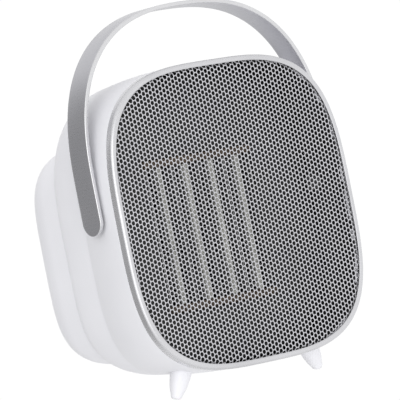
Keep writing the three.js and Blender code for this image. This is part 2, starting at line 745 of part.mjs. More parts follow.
place(body, 'element_rail_top', elementRail(1), FINISH.mica);
place(body, 'element_rail_bottom', elementRail(-1), FINISH.mica);
for (let i = 0; i < BAR_COUNT; i += 1) {
  const x = (i - (BAR_COUNT - 1) / 2) * BAR_PITCH;
  const toFin = BAR_THICKNESS / 2 + 0.1 + finCell / 2;
  place(body, `ceramic_bar_${i + 1}`, verticalBar(x, BAR_THICKNESS, ELEMENT_DEPTH), FINISH.ceramic);
  place(body, `fin_pack_${2 * i + 1}`, finPack(x - toFin), FINISH.aluminium);
  place(body, `fin_pack_${2 * i + 2}`, finPack(x + toFin), FINISH.aluminium);
}
for (let i = 0; i <= BAR_COUNT; i += 1) {
  const x = (i - BAR_COUNT / 2) * BAR_PITCH;
  place(body, `element_plate_${i + 1}`, verticalBar(x, PLATE_THICKNESS, ELEMENT_DEPTH - 1), FINISH.steel);
}
place(body, 'thermal_cutout', thermalCutout(), FINISH.steel);

place(body, 'fan_shroud', fanShroud(), FINISH.black);
place(body, 'fan_motor', fanMotor(), FINISH.steel);
place(body, 'motor_shaft', motorShaft(), FINISH.steel);
place(body, 'fan_impeller', fanImpeller(), FINISH.black);

place(body, 'handle', handle(), FINISH.strap);
for (const [side, word] of [[-1, 'left'], [1, 'right']]) {
  place(body, `handle_pin_${word}`, handlePin(side), FINISH.steel);
  place(body, `handle_bush_${word}`, handleBush(side), FINISH.black);
  place(heater, `front_foot_${word}`, frontFoot(side), FINISH.shell);
  place(heater, `rear_pad_${word}`, rearPad(side), FINISH.rubber);
}
place(heater, 'rear_foot', rearFoot(), FINISH.shell);

place(panel, 'control_panel', controlPanel(), FINISH.black);
place(panel, 'pilot_lamp', pilotLamp(), FINISH.lamp);
place(panel, 'mode_knob', knob(), FINISH.silver).position.x = -KNOB_X;
const thermostatKnob = place(panel, 'thermostat_knob', knob(), FINISH.silver);
thermostatKnob.position.x = KNOB_X;
thermostatKnob.rotation.z = THREE.MathUtils.degToRad(135);
place(panel, 'mode_switch', switchBody(30, 26, 16), FINISH.black).position.x = -KNOB_X;
place(panel, 'thermostat', switchBody(34, 24, 18), FINISH.ceramic).position.x = KNOB_X;

place(body, 'tip_switch', tipSwitch(), FINISH.black);
place(body, 'tip_plunger', tipPlunger(), FINISH.steel);
place(body, 'cord_gland', cordGland(), FINISH.rubber);
screwPlaces().forEach(([x, y], index) => {
  place(body, `rear_screw_${index + 1}`, rearScrew(), FINISH.steel).position.set(x, y, 0);
});

// The origin: the middle of the whole object's box, on the floor.
const bounds = new THREE.Box3().setFromObject(heater, true);
const middle = bounds.getCenter(new THREE.Vector3());
for (const child of heater.children) child.position.sub(new THREE.Vector3(middle.x, middle.y, bounds.min.z));

export default heater;
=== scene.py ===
"""Ceramic space heater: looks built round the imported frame.

Body pieces are drawn in the body's own frame, in millimetres: x to the right, y up the face, z out of
the face, with the origin in the middle of the front grille. BODY turns that frame into the row frame.
"""
import json
import math

import bmesh
import bpy
import numpy as np
from mathutils import Matrix, Vector


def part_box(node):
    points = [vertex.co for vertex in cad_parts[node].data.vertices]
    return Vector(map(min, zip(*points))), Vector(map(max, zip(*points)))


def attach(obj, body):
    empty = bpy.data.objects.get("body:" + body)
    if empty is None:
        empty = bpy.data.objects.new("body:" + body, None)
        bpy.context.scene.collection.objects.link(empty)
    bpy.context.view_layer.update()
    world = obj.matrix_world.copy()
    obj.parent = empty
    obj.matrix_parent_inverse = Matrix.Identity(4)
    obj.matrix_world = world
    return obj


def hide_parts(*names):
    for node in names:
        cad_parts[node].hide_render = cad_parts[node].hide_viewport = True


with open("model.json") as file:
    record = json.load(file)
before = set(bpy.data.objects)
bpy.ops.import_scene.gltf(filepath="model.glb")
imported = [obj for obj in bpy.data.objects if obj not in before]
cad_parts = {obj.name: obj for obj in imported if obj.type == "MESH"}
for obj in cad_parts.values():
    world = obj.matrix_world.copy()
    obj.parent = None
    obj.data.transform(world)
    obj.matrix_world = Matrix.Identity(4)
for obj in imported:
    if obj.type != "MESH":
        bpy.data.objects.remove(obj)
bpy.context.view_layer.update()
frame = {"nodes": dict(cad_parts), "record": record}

MM = 0.001
LEAN = math.radians(17)


def middle_of(node):
    low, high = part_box(node)
    return (low + high) / 2


# The grille is a flat plate about the body frame's origin, so its box has the origin in its middle.
BODY = (Matrix.Translation(middle_of("front_grille")) @ Matrix.Rotation(math.pi / 2 - LEAN, 4, "X")
        @ Matrix.Scale(MM, 4))

# ------------------------------------------------------------------ sizes of the body, in mm
WALL = 2.5
FACE_HALF = 119
FACE_POWER = 3.37
BEZEL_HALF = 119.5
LIP_HALF = 115.1
GRILLE_HALF = 117
GRILLE_THICKNESS = 0.35
SHELL_FRONT_Z = -6
SHELL_TURN_Z = -59
SHELL_TURN_POWER = 4.1
SEAM_Z = -94
TAPER_SIDE = 12
TAPER_TOP = 3.1
TAPER_BOTTOM = 3.5
TAPER_POWER = 2.1
HOUSING_HALF_WIDTH = 101.6
HOUSING_HALF_HEIGHT = 88.95
HOUSING_CENTRE_Y = -11.75
HOUSING_POWER = 4.5
HOUSING_BEND_Z = -110.2
HOUSING_BEND_R = 38.5
INTAKE_INSET = 34
AIR_Y = -9
PIVOT_Y = 12
PIVOT_Z = -29
STRAP_HALF_SPAN = 123.9
STRAP_THICKNESS = 3.2
STRAP_WIDTH = 22
STRAP_ARCH_Y = 40.2
STRAP_TOP_Y = 169
STRAP_POWER = 2.54
STRAP_EDGE = 0.7
FOOT_X = 75
FOOT_BODY_Y = -133.3
FOOT_BODY_Z = -30
FOOT_SPLAY = 0.443
FOOT_RAKE = 0.105
FOOT_TOP_R = 9
FOOT_TIP_R = 4.6
FOOT_LENGTH = 30
FOOT_SINK = 1.1
FOOT_SWELL = 1.1
REAR_FOOT_WIDTH = 56
REAR_FOOT_DEPTH = 24
PANEL_WIDTH = 112
PANEL_HEIGHT = 37
PANEL_THICKNESS = 7
PANEL_PROUD = -2
KNOB_R = 15
KNOB_HEIGHT = 16
KNOB_X = 30
KNOB_SHAFT_R = 3
ELEMENT_FRONT_Z = -38
ELEMENT_DEPTH = 15
ELEMENT_HALF_HEIGHT = 60
RAIL_HEIGHT = 6
BAR_PITCH = 26.8
BAR_COUNT = 4
BAR_THICKNESS = 5
PLATE_THICKNESS = 1.2
FAN_R = 48
FAN_Z = -78
FAN_BLADES = 7
HUB_R = 15
HUB_DEPTH = 14
GLAND_X = 38
GLAND_BEND = math.pi / 3
GLAND_R = 6
GLAND_BORE_R = 3.9
BUSH_BORE_R = 6.3
BORE_REACH = 8
HOUSING_MIDDLE_Z = -102
SCREW_X = 73
SCREW_Y = 42
SCREW_SEAT_Z = -141.5
SCREW_BOSS_R = 6.2
SCREW_BOSS_FRONT_Z = -124
SCREW_HEAD_HOLE_R = 4.8
SCREW_SHAFT_HOLE_R = 2.2
SCREW_SHAFT_HOLE_Z = -110
BEHIND_Z = -160
PLUNGER_X = 42
PLUNGER_Z = -106
PLUNGER_HOLE_R = 3.1
PANEL_CORNER_R = 8
PANEL_GAP = 0.3
LAMP_Y = 8
LAMP_HOLE_R = 2.6
SIDES = ((-1, "left"), (1, "right"))


def linked(name, data):
    """A new object in the scene."""
    item = bpy.data.objects.new(name, data)
    bpy.context.scene.collection.objects.link(item)
    return item


# ------------------------------------------------------------------ camera and light, in metres
CAMERA_AZIMUTH = math.radians(-41.56)
CAMERA_ELEVATION = math.radians(11.79)
CAMERA_DISTANCE = 3.442
CAMERA_LENS = 400
AIM_RIGHT = -0.03065
AIM_UP = 0.00809
KEY_LOCATION = (-1.9, -1.7, 1.1)
KEY_TARGET = (0, 0, 0.13)
KEY_SIZE = 1.2
KEY_POWER = 4
TENT_STRENGTH = 1.02
# Each row: a direction, how closely a ray has to point that way (from none of the effect to all of it)
# and the brightness there.
TENT = (
    ((-0.76, 0.60, -0.25), 0.52, 0.95, 0.36),
    ((-0.74, -0.62, 0.25), 0.66, 0.95, 1.75),
    ((0.0, 0.0, -1.0), 0.20, 0.85, 0.84),
    ((0.0, 0.0, 1.0), 0.30, 0.90, 0.90),
)


def add_camera():
    azimuth, elevation = CAMERA_AZIMUTH, CAMERA_ELEVATION
    right = Vector((math.cos(azimuth), math.sin(azimuth), 0))
    back = Vector((math.sin(azimuth) * math.cos(elevation), -math.cos(azimuth) * math.cos(elevation),
                   math.sin(elevation)))
    up = back.cross(right)
    aim = middle_of("front_grille") + AIM_RIGHT * right + AIM_UP * up
    data = bpy.data.cameras.new("camera")
    data.lens = CAMERA_LENS
    data.sensor_width = 36
    data.clip_end = 60
    camera = linked("camera", data)
    rotation = Matrix((right, up, back)).transposed()
    camera.matrix_world = Matrix.Translation(aim + CAMERA_DISTANCE * back) @ rotation.to_4x4()
    bpy.context.scene.camera = camera


def add_light(name, location, target, size, power):
    data = bpy.data.lights.new(name, "AREA")
    data.shape = "SQUARE"
    data.size = size
    data.energy = power
    light = linked(name, data)
    direction = Vector(target) - Vector(location)
    light.location = location
    light.rotation_euler = direction.to_track_quat("-Z", "Y").to_euler()


def add_world():
    """A white tent: brightest round the camera, grey at its left, a little weaker above and below."""
    world = bpy.data.worlds.new("studio")
    world.use_nodes = True
    tree = world.node_tree
    background = tree.nodes["Background"]
    coordinates = tree.nodes.new("ShaderNodeTexCoord")
    direction = coordinates.outputs["Generated"]
    light = None
    for toward, start, end, level in TENT:
        side = tent_side(tree, direction, toward, start, end, level)
        light = side if light is None else multiplied(tree, light, side)
    tree.links.new(light, background.inputs["Color"])
    background.inputs["Strength"].default_value = TENT_STRENGTH
    bpy.context.scene.world = world


def tent_side(tree, direction, toward, start, end, level):
    """Light that goes smoothly from 1 to level as a ray turns towards a direction."""
    dot = tree.nodes.new("ShaderNodeVectorMath")
    dot.operation = "DOT_PRODUCT"
    dot.inputs[1].default_value = Vector(toward).normalized()
    tree.links.new(direction, dot.inputs[0])
    node = tree.nodes.new("ShaderNodeMapRange")
    node.interpolation_type = "SMOOTHSTEP"
    for name, number in (("From Min", start), ("From Max", end), ("To Min", 1.0), ("To Max", level)):
        node.inputs[name].default_value = number
    tree.links.new(dot.outputs["Value"], node.inputs["Value"])
    return node.outputs["Result"]


def multiplied(tree, a, b):
    node = tree.nodes.new("ShaderNodeMath")
    node.operation = "MULTIPLY"
    tree.links.new(a, node.inputs[0])
    tree.links.new(b, node.inputs[1])
    return node.outputs["Value"]


def add_studio():
    bpy.context.scene.view_settings.view_transform = "Standard"
    add_world()
    add_light("key_box", KEY_LOCATION, KEY_TARGET, KEY_SIZE, KEY_POWER)


# ------------------------------------------------------------------ materials
RAMP_ENDS = (0.3, 0.7)


def grey(value, blue=0.0):
    return (value, value, value + blue)


# Each row: the two tones that the colour drifts between, the range of roughness, metallic, the scale of the
# grain, its depth in mm and the scale of the drift.
LOOKS = {
    "white_shell": (grey(0.80, 0.035), grey(0.83, 0.035), (0.36, 0.48), 0.0, 1800, 0.012, 18),
    "silver_trim": (grey(0.60, 0.02), grey(0.66, 0.02), (0.24, 0.34), 0.75, 900, 0.002, 18),
    "grille_steel": (grey(0.55, 0.03), grey(0.60, 0.03), (0.30, 0.42), 0.35, 2200, 0.008, 18),
    "strap_aluminium": (grey(0.475, 0.028), grey(0.52, 0.028), (0.24, 0.40), 0.9, 60, 0.006, 18),
    # A lighter, glossier copy of the strap's metal for its narrow edges: a painted highlight.
    "strap_painted_highlight": (grey(0.66, 0.015), grey(0.71, 0.015), (0.16, 0.26), 0.8, 900, 0.004, 18),
    "black_plastic": (grey(0.010), grey(0.016), (0.55, 0.75), 0.0, 900, 0.02, 18),
    "ptc_ceramic": ((0.33, 0.33, 0.31), (0.42, 0.42, 0.39), (0.7, 0.9), 0.0, 700, 0.05, 60),
    "mica_board": ((0.05, 0.035, 0.025), (0.09, 0.065, 0.045), (0.6, 0.85), 0.0, 500, 0.04, 80),
    "fin_aluminium": (grey(0.20), grey(0.27), (0.35, 0.55), 0.8, 900, 0.02, 60),
    "zinc_steel": ((0.42, 0.43, 0.44), (0.52, 0.52, 0.52), (0.28, 0.45), 0.9, 800, 0.01, 90),
    "pad_rubber": (grey(0.018), grey(0.026), (0.75, 0.95), 0.0, 900, 0.05, 40),
    "panel_grey": (grey(0.085), grey(0.105), (0.45, 0.6), 0.0, 1600, 0.03, 18),
    "knob_silver": (grey(0.42, 0.006), grey(0.48, 0.006), (0.25, 0.36), 0.8, 1800, 0.006, 40),
    "lamp_amber": ((0.75, 0.16, 0.02), (0.85, 0.22, 0.03), (0.08, 0.16), 0.0, 300, 0.01, 18),
    "marking_white": (grey(0.70), grey(0.76), (0.4, 0.5), 0.0, 900, 0.01, 18),
}
# Brushed finishes: their grain is stretched along the piece, which has its own texture coordinates.
BRUSHED = {"strap_aluminium": {"stretch": (0.6, 60, 1), "source": "UV"}}


def principled(name, color, roughness, metallic):
    material = bpy.data.materials.new(name)
    material.use_nodes = True
    tree = material.node_tree
    shader = tree.nodes["Principled BSDF"]
    shader.inputs["Base Color"].default_value = (*color, 1)
    shader.inputs["Roughness"].default_value = roughness
    shader.inputs["Metallic"].default_value = metallic
    return material, tree, shader


def noise(tree, scale, detail, stretch=(1, 1, 1), source="Object"):
    coordinates = tree.nodes.new("ShaderNodeTexCoord")
    mapping = tree.nodes.new("ShaderNodeMapping")
    mapping.inputs["Scale"].default_value = stretch
    texture = tree.nodes.new("ShaderNodeTexNoise")
    texture.inputs["Scale"].default_value = scale
    texture.inputs["Detail"].default_value = detail
    tree.links.new(coordinates.outputs[source], mapping.inputs["Vector"])
    tree.links.new(mapping.outputs["Vector"], texture.inputs["Vector"])
    return texture.outputs["Fac"]


def ramp(tree, value, low, high):
    """Maps a noise value, most of which lie in RAMP_ENDS, to a colour or a grey between low and high."""
    node = tree.nodes.new("ShaderNodeValToRGB")
    for element, position, tone in zip(node.color_ramp.elements, RAMP_ENDS, (low, high)):
        element.position = position
        element.color = (*tone, 1) if isinstance(tone, tuple) else (tone, tone, tone, 1)
    tree.links.new(value, node.inputs["Fac"])
    return node.outputs["Color"]


def bump(tree, shader, value, depth_mm):
    node = tree.nodes.new("ShaderNodeBump")
    node.inputs["Distance"].default_value = depth_mm * MM
    node.inputs["Strength"].default_value = 1.0
    tree.links.new(value, node.inputs["Height"])
    tree.links.new(node.outputs["Normal"], shader.inputs["Normal"])


def surface(name, low, high, rough, metallic, grain, depth, patch, stretch=(1, 1, 1), source="Object"):
    """A finish with colour drifting between low and high, roughness in the range rough, and a fine grain."""
    material, tree, shader = principled(name, low, sum(rough) / 2, metallic)
    drift = noise(tree, patch, 3)
    tree.links.new(ramp(tree, drift, low, high), shader.inputs["Base Color"])
    fine = noise(tree, grain, 2, stretch, source)
    tree.links.new(ramp(tree, fine, rough[0], rough[1]), shader.inputs["Roughness"])
    bump(tree, shader, fine, depth)
    return material


def make_finishes():
    return {name: surface(name, *look, **BRUSHED.get(name, {})) for name, look in LOOKS.items()}


# ------------------------------------------------------------------ mesh helpers
def outline(half_width, half_height, power, centre_y=0.0, count=192):
    """Points of a superellipse at even angles, counter-clockwise."""
    angle = np.arange(count) / count * 2 * np.pi
    c, s = np.cos(angle), np.sin(angle)
    reach = (np.abs(c / half_width) ** power + np.abs(s / half_height) ** power) ** (-1 / power)
    return np.stack([reach * c, centre_y + reach * s], axis=1)


def ring(z, half_width, half_height, power, centre_y=0.0, count=192):
    points = outline(half_width, half_height, power, centre_y, count)
    return np.column_stack([points, np.full(len(points), z)])


def skin(rings, looped=False, capped=False):
    """Vertices and faces of a skin over rings that each have the same number of points."""
    rings = np.asarray(rings, float)
    rows, count = rings.shape[:2]
    faces = []
    for row in range(rows if looped else rows - 1):
        here, there = row * count, ((row + 1) % rows) * count
        for i in range(count):
            j = (i + 1) % count
            faces.append((here + i, here + j, there + j, there + i))
    if capped:
        faces.append(tuple(range(count))[::-1])
        faces.append(tuple((rows - 1) * count + i for i in range(count)))
    return rings.reshape(-1, 3), faces


def lathe(profile, count=48):
    """Turns a list of (radius, z) about z. Ends on the axis are closed; other profiles must loop."""
    on_axis = profile[0][0] == 0
    inner = profile[1:-1] if on_axis else profile
    angle = np.arange(count) / count * 2 * np.pi
    rings = [np.column_stack([r * np.cos(angle), r * np.sin(angle), np.full(count, z)]) for r, z in inner]
    vertices, faces = skin(rings, looped=not on_axis)
    if on_axis:
        first, last = len(vertices), len(vertices) + 1
        vertices = np.vstack([vertices, [0, 0, profile[0][1]], [0, 0, profile[-1][1]]])
        base = (len(inner) - 1) * count
        for i in range(count):
            j = (i + 1) % count
            faces.append((first, j, i))
            faces.append((last, base + i, base + j))
    return vertices, faces


def rounded(points, radius, steps=4):
    """An open profile with its inner corners rounded; radius is cut down where a side is short."""
    points = [np.array(p, float) for p in points]
    result = [points[0]]
    for before, corner, after in zip(points, points[1:], points[2:]):
        back, ahead = before - corner, after - corner
        cut = min(radius, 0.45 * np.linalg.norm(back), 0.45 * np.linalg.norm(ahead))
        start = corner + back / np.linalg.norm(back) * cut
        end = corner + ahead / np.linalg.norm(ahead) * cut
        for i in range(steps + 1):
            t = i / steps
            result.append((1 - t) ** 2 * start + 2 * t * (1 - t) * corner + t ** 2 * end)
    result.append(points[-1])
    return [tuple(p) for p in result]


def to_object(name, vertices, faces, placement, smooth_angle=40):
    mesh = bpy.data.meshes.new(name)
    mesh.from_pydata([tuple(v) for v in vertices], [], faces)
    mesh.transform(placement)
    mesh.validate()
    sheet = bmesh.new()
    sheet.from_mesh(mesh)
    bmesh.ops.recalc_face_normals(sheet, faces=sheet.faces)
    sheet.to_mesh(mesh)
    sheet.free()
    shade(mesh, smooth_angle)
    return linked(name, mesh)


def shade(mesh, smooth_angle):
    mesh.polygons.foreach_set("use_smooth", [True] * len(mesh.polygons))
    mesh.set_sharp_from_angle(angle=math.radians(smooth_angle))


def finish_piece(piece, slot, body="heater_body", nodes=()):
    piece.data.materials.clear()
    piece.data.materials.append(FINISHES[slot])
    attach(piece, body)
    if nodes:
        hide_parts(*nodes)


def combine(piece, others, operation):
    """Joins the other objects to the piece, or cuts them out of it, and removes them."""
    for other in others:
        modifier = piece.modifiers.new("combine", "BOOLEAN")
        modifier.operation = operation
        modifier.solver = "EXACT"
        modifier.object = other
    mesh = bpy.data.meshes.new_from_object(piece.evaluated_get(bpy.context.evaluated_depsgraph_get()))
    piece.modifiers.clear()
    piece.data = mesh
    for other in others:
        bpy.data.objects.remove(other)


def carve(piece, cutters, smooth_angle=35):
    combine(piece, cutters, "DIFFERENCE")
    shade(piece.data, smooth_angle)


def plate(name, loops, z_low, z_high, edge, placement, steps=3):
    """A flat plate with holes and rounded edges: the first loop is its outline, the rest its holes."""
    curve = bpy.data.curves.new(name, "CURVE")
    curve.dimensions = "2D"
    curve.fill_mode = "BOTH"
    curve.extrude = (z_high - z_low) / 2 - edge
    curve.bevel_depth = edge
    curve.bevel_resolution = steps
    curve.offset = -edge
    for loop in loops:
        spline = curve.splines.new("POLY")
        spline.points.add(len(loop) - 1)
        spline.points.foreach_set("co", [v for x, y in loop for v in (x, y, 0, 1)])
        spline.use_cyclic_u = True
    source = linked(name, curve)
    mesh = bpy.data.meshes.new_from_object(source.evaluated_get(bpy.context.evaluated_depsgraph_get()))
    bpy.data.objects.remove(source)
    mesh.name = name
    solid = bmesh.new()
    solid.from_mesh(mesh)
    bmesh.ops.remove_doubles(solid, verts=solid.verts, dist=1e-4)
    bmesh.ops.recalc_face_normals(solid, faces=solid.faces)
    solid.to_mesh(mesh)
    solid.free()
    mesh.transform(placement @ Matrix.Translation((0, 0, (z_low + z_high) / 2)))
    shade(mesh, smooth_angle=50)
    return linked(name, mesh)


def circle(radius, x=0.0, y=0.0, count=48):
    angle = np.arange(count) / count * 2 * np.pi
    return [(x + radius * math.cos(a), y + radius * math.sin(a)) for a in angle]


def rounded_rect(width, height, radius, x=0.0, y=0.0, steps=8):
    points = []
    for quarter, (sx, sy) in enumerate([(1, 1), (-1, 1), (-1, -1), (1, -1)]):
        for i in range(steps + 1):
            angle = (quarter + i / steps) * math.pi / 2
            points.append((x + sx * (width / 2 - radius) + radius * math.cos(angle),
                           y + sy * (height / 2 - radius) + radius * math.sin(angle)))
    return points


def joined(name, pieces):
    """Joins pieces that make up one part."""
    bpy.ops.object.select_all(action="DESELECT")
    for piece in pieces:
        piece.select_set(True)
    bpy.context.view_layer.objects.active = pieces[0]
    bpy.ops.object.join()
    pieces[0].name = name
    return pieces[0]


# ------------------------------------------------------------------ shells
def mix(a, b, share):
    return a + (b - a) * share


def shell_rows(inset, taper_steps=24, turn_steps=20):
    """Sections of the front shell, from its mouth back to the seam: z, half sizes, exponent, centre."""
    def extents(share):
        return FACE_HALF - np.array([TAPER_SIDE, TAPER_TOP, TAPER_BOTTOM]) * share

    back = np.array([HOUSING_HALF_WIDTH, HOUSING_HALF_HEIGHT + HOUSING_CENTRE_Y,
                     HOUSING_HALF_HEIGHT - HOUSING_CENTRE_Y])
    rows = []
    for i in range(taper_steps):
        way = i / taper_steps
        rows.append((mix(SHELL_FRONT_Z, SHELL_TURN_Z, way), extents(way ** TAPER_POWER),
                     mix(FACE_POWER, SHELL_TURN_POWER, way)))
    for i in range(turn_steps + 1):
        angle = math.pi / 2 * i / turn_steps
        share = 1 - math.cos(angle)
        rows.append((mix(SHELL_TURN_Z, SEAM_Z + inset, math.sin(angle)), mix(extents(1), back, share),
                     mix(SHELL_TURN_POWER, HOUSING_POWER, share)))
    return [(z, side - inset, (top + bottom) / 2 - inset, power, (top - bottom) / 2)
            for z, (side, top, bottom), power in rows]


def front_shell():
    outside = shell_rows(0)
    z, half, _, power, _ = outside[0]
    # The edge of the mouth is rounded off a little.
    outside = [(z, half - 0.4, half - 0.4, power, 0), (z - 0.15, half - 0.1, half - 0.1, power, 0),
               (z - 0.5, half, half, power, 0), *outside[1:]]
    rings = [ring(*row) for row in outside + shell_rows(WALL, 8, 8)[::-1]]
    vertices, faces = skin(rings, looped=True)
    piece = to_object("front_shell_skin", vertices, faces, BODY)
    bore = [(0, -BORE_REACH), (BUSH_BORE_R, -BORE_REACH), (BUSH_BORE_R, BORE_REACH), (0, BORE_REACH)]
    bores = [to_object("bore", *lathe(bore), BODY @ Matrix.Translation((side * FACE_HALF, PIVOT_Y, PIVOT_Z))
                       @ Matrix.Rotation(math.pi / 2, 4, "Y")) for side, _ in SIDES]
    carve(piece, bores)
    finish_piece(piece, "white_shell", nodes=["front_shell"])
    # The inside gets the black finish as painted shade, darkening what shows through the grille: its faces
    # are those that look towards the middle of the casing.
    piece.data.materials.append(FINISHES["black_plastic"])
    to_body = BODY.inverted()
    inside = []
    for face in piece.data.polygons:
        centre = to_body @ face.center
        normal = to_body.to_3x3() @ face.normal
        inside.append(int(centre.x * normal.x + centre.y * normal.y < 0))
    piece.data.polygons.foreach_set("material_index", inside)


def bend_rows(wall, steps):
    """Sections of the rear housing from its straight sides round the bend to the intake opening."""
    radius = HOUSING_BEND_R - wall
    last = math.acos(1 - (INTAKE_INSET - wall) / radius)
    rows = []
    for i in range(steps + 1):
        angle = last * i / steps
        inset = wall + radius * (1 - math.cos(angle))
        rows.append((HOUSING_BEND_Z - radius * math.sin(angle), HOUSING_HALF_WIDTH - inset,
                     HOUSING_HALF_HEIGHT - inset, HOUSING_POWER, HOUSING_CENTRE_Y))
    return rows


def start_rows(wall):
    """Sections of the housing's straight sides, whose outside has a small rounded edge at the seam."""
    rows = []
    for z, edge in ((SEAM_Z - 0.3, 0.35), (SEAM_Z - 0.7, 0.0), (HOUSING_MIDDLE_Z, 0.0)):
        inset = wall if wall > 0 else edge
        rows.append((z, HOUSING_HALF_WIDTH - inset, HOUSING_HALF_HEIGHT - inset, HOUSING_POWER,
                     HOUSING_CENTRE_Y))
    return rows


PANEL_TILT = math.pi / 4
PANEL = (BODY @ Matrix.Translation((0, HOUSING_CENTRE_Y + HOUSING_HALF_HEIGHT
                                    - HOUSING_BEND_R * (1 - math.cos(PANEL_TILT)),
                                    HOUSING_BEND_Z - HOUSING_BEND_R * math.sin(PANEL_TILT)))
         @ Matrix.Rotation(-math.pi / 2 - PANEL_TILT, 4, "X") @ Matrix.Rotation(math.pi, 4, "Z"))
SCREWS = [(sx * SCREW_X, HOUSING_CENTRE_Y + sy * SCREW_Y) for sx in (-1, 1) for sy in (-1, 1)]
LOWER_BEND = (BODY @ Matrix.Translation((GLAND_X, HOUSING_CENTRE_Y - HOUSING_HALF_HEIGHT
                                         + HOUSING_BEND_R * (1 - math.cos(GLAND_BEND)),
                                         HOUSING_BEND_Z - HOUSING_BEND_R * math.sin(GLAND_BEND)))
              @ Matrix.Rotation(math.pi / 2 + GLAND_BEND, 4, "X"))


def rod(radius, z_low, z_high, x, y, placement=BODY):
    """A plain cylinder to combine with a piece."""
    return to_object("cutter", *lathe([(0, z_low), (radius, z_low), (radius, z_high), (0, z_high)], 40),
                     placement @ Matrix.Translation((x, y, 0)))


def rear_housing():
    outside = start_rows(0) + bend_rows(0, 28)
    inside = start_rows(WALL) + bend_rows(WALL, 10)
    rings = [ring(*row) for row in outside + inside[::-1]]
    vertices, faces = skin(rings, looped=True)
    piece = to_object("rear_housing_skin", vertices, faces, BODY)
    for x, y in SCREWS:
        combine(piece, [rod(SCREW_BOSS_R, SCREW_SEAT_Z - 1, SCREW_BOSS_FRONT_Z, x, y)], "UNION")
    cutters = [rod(SCREW_HEAD_HOLE_R, BEHIND_Z, SCREW_SEAT_Z, x, y) for x, y in SCREWS]
    cutters += [rod(SCREW_SHAFT_HOLE_R, BEHIND_Z, SCREW_SHAFT_HOLE_Z, x, y) for x, y in SCREWS]
    cutters.append(rod(GLAND_R + 0.3, -12, 8, 0, 0, LOWER_BEND))
    window = rounded_rect(PANEL_WIDTH + 2 * PANEL_GAP, PANEL_HEIGHT + 2 * PANEL_GAP,
                          PANEL_CORNER_R + PANEL_GAP)
    cutters.append(plate("cutter", [window], -18, 12, 0.01, PANEL))
    plunger = (BODY @ Matrix.Translation((PLUNGER_X, HOUSING_CENTRE_Y - HOUSING_HALF_HEIGHT, PLUNGER_Z))
               @ Matrix.Rotation(math.pi / 2, 4, "X"))
    cutters.append(rod(PLUNGER_HOLE_R, -10, 10, 0, 0, plunger))
    carve(piece, cutters)
    finish_piece(piece, "white_shell", nodes=["rear_housing"])


def front_frame():
    half = BEZEL_HALF
    back = SHELL_FRONT_Z + 0.3
    rebate = GRILLE_HALF + 0.4
    profile = rounded([(back, half - 0.3), (-0.4, half), (1.1, half - 0.9), (1.6, half - 2.2),
                       (1.5, half - 3.4), (1.1, LIP_HALF), (0.6, LIP_HALF), (0.6, rebate)], 0.9)
    profile.append((back, rebate))
    rings = [ring(z, h, h, FACE_POWER, count=288) for z, h in profile]
    vertices, faces = skin(rings, looped=True)
    piece = to_object("front_rim", vertices, faces, BODY)
    finish_piece(piece, "silver_trim", nodes=["front_frame"])


# ------------------------------------------------------------------ perforated grille
HOLE_PITCH = 4.0
HOLE_R = 1.74
HOLE_POINTS = 12
HOLE_EDGE = 0.12
LATTICE_SHIFT_X = -0.07
GRILLE_TOP_Z = 0.5
GRILLE_EDGE_INSET = 1.1
GRILLE_EDGE_DROP = 1.0


def clamp_to_outline(points, half, power):
    """Pulls points that lie outside a superellipse in to it."""
    reach = (np.abs(points[..., 0] / half) ** power + np.abs(points[..., 1] / half) ** power) ** (1 / power)
    scale = np.where(reach > 1, 1 / np.maximum(reach, 1e-9), 1)
    return points * scale[..., None]


def hole_centres():
    column = HOLE_PITCH * math.sqrt(3) / 2
    reach = int(GRILLE_HALF / column) + 2
    centres = []
    for k in range(-reach, reach + 1):
        shift = 0.25 * HOLE_PITCH * (1 if k % 2 else -1)
        for j in range(-reach, reach + 1):
            centres.append((k * column + LATTICE_SHIFT_X, shift + j * HOLE_PITCH))
    centres = np.array(centres)
    size = (np.abs(centres / GRILLE_HALF) ** FACE_POWER).sum(axis=1) ** (1 / FACE_POWER)
    return centres[size < 1 + HOLE_PITCH / GRILLE_HALF]


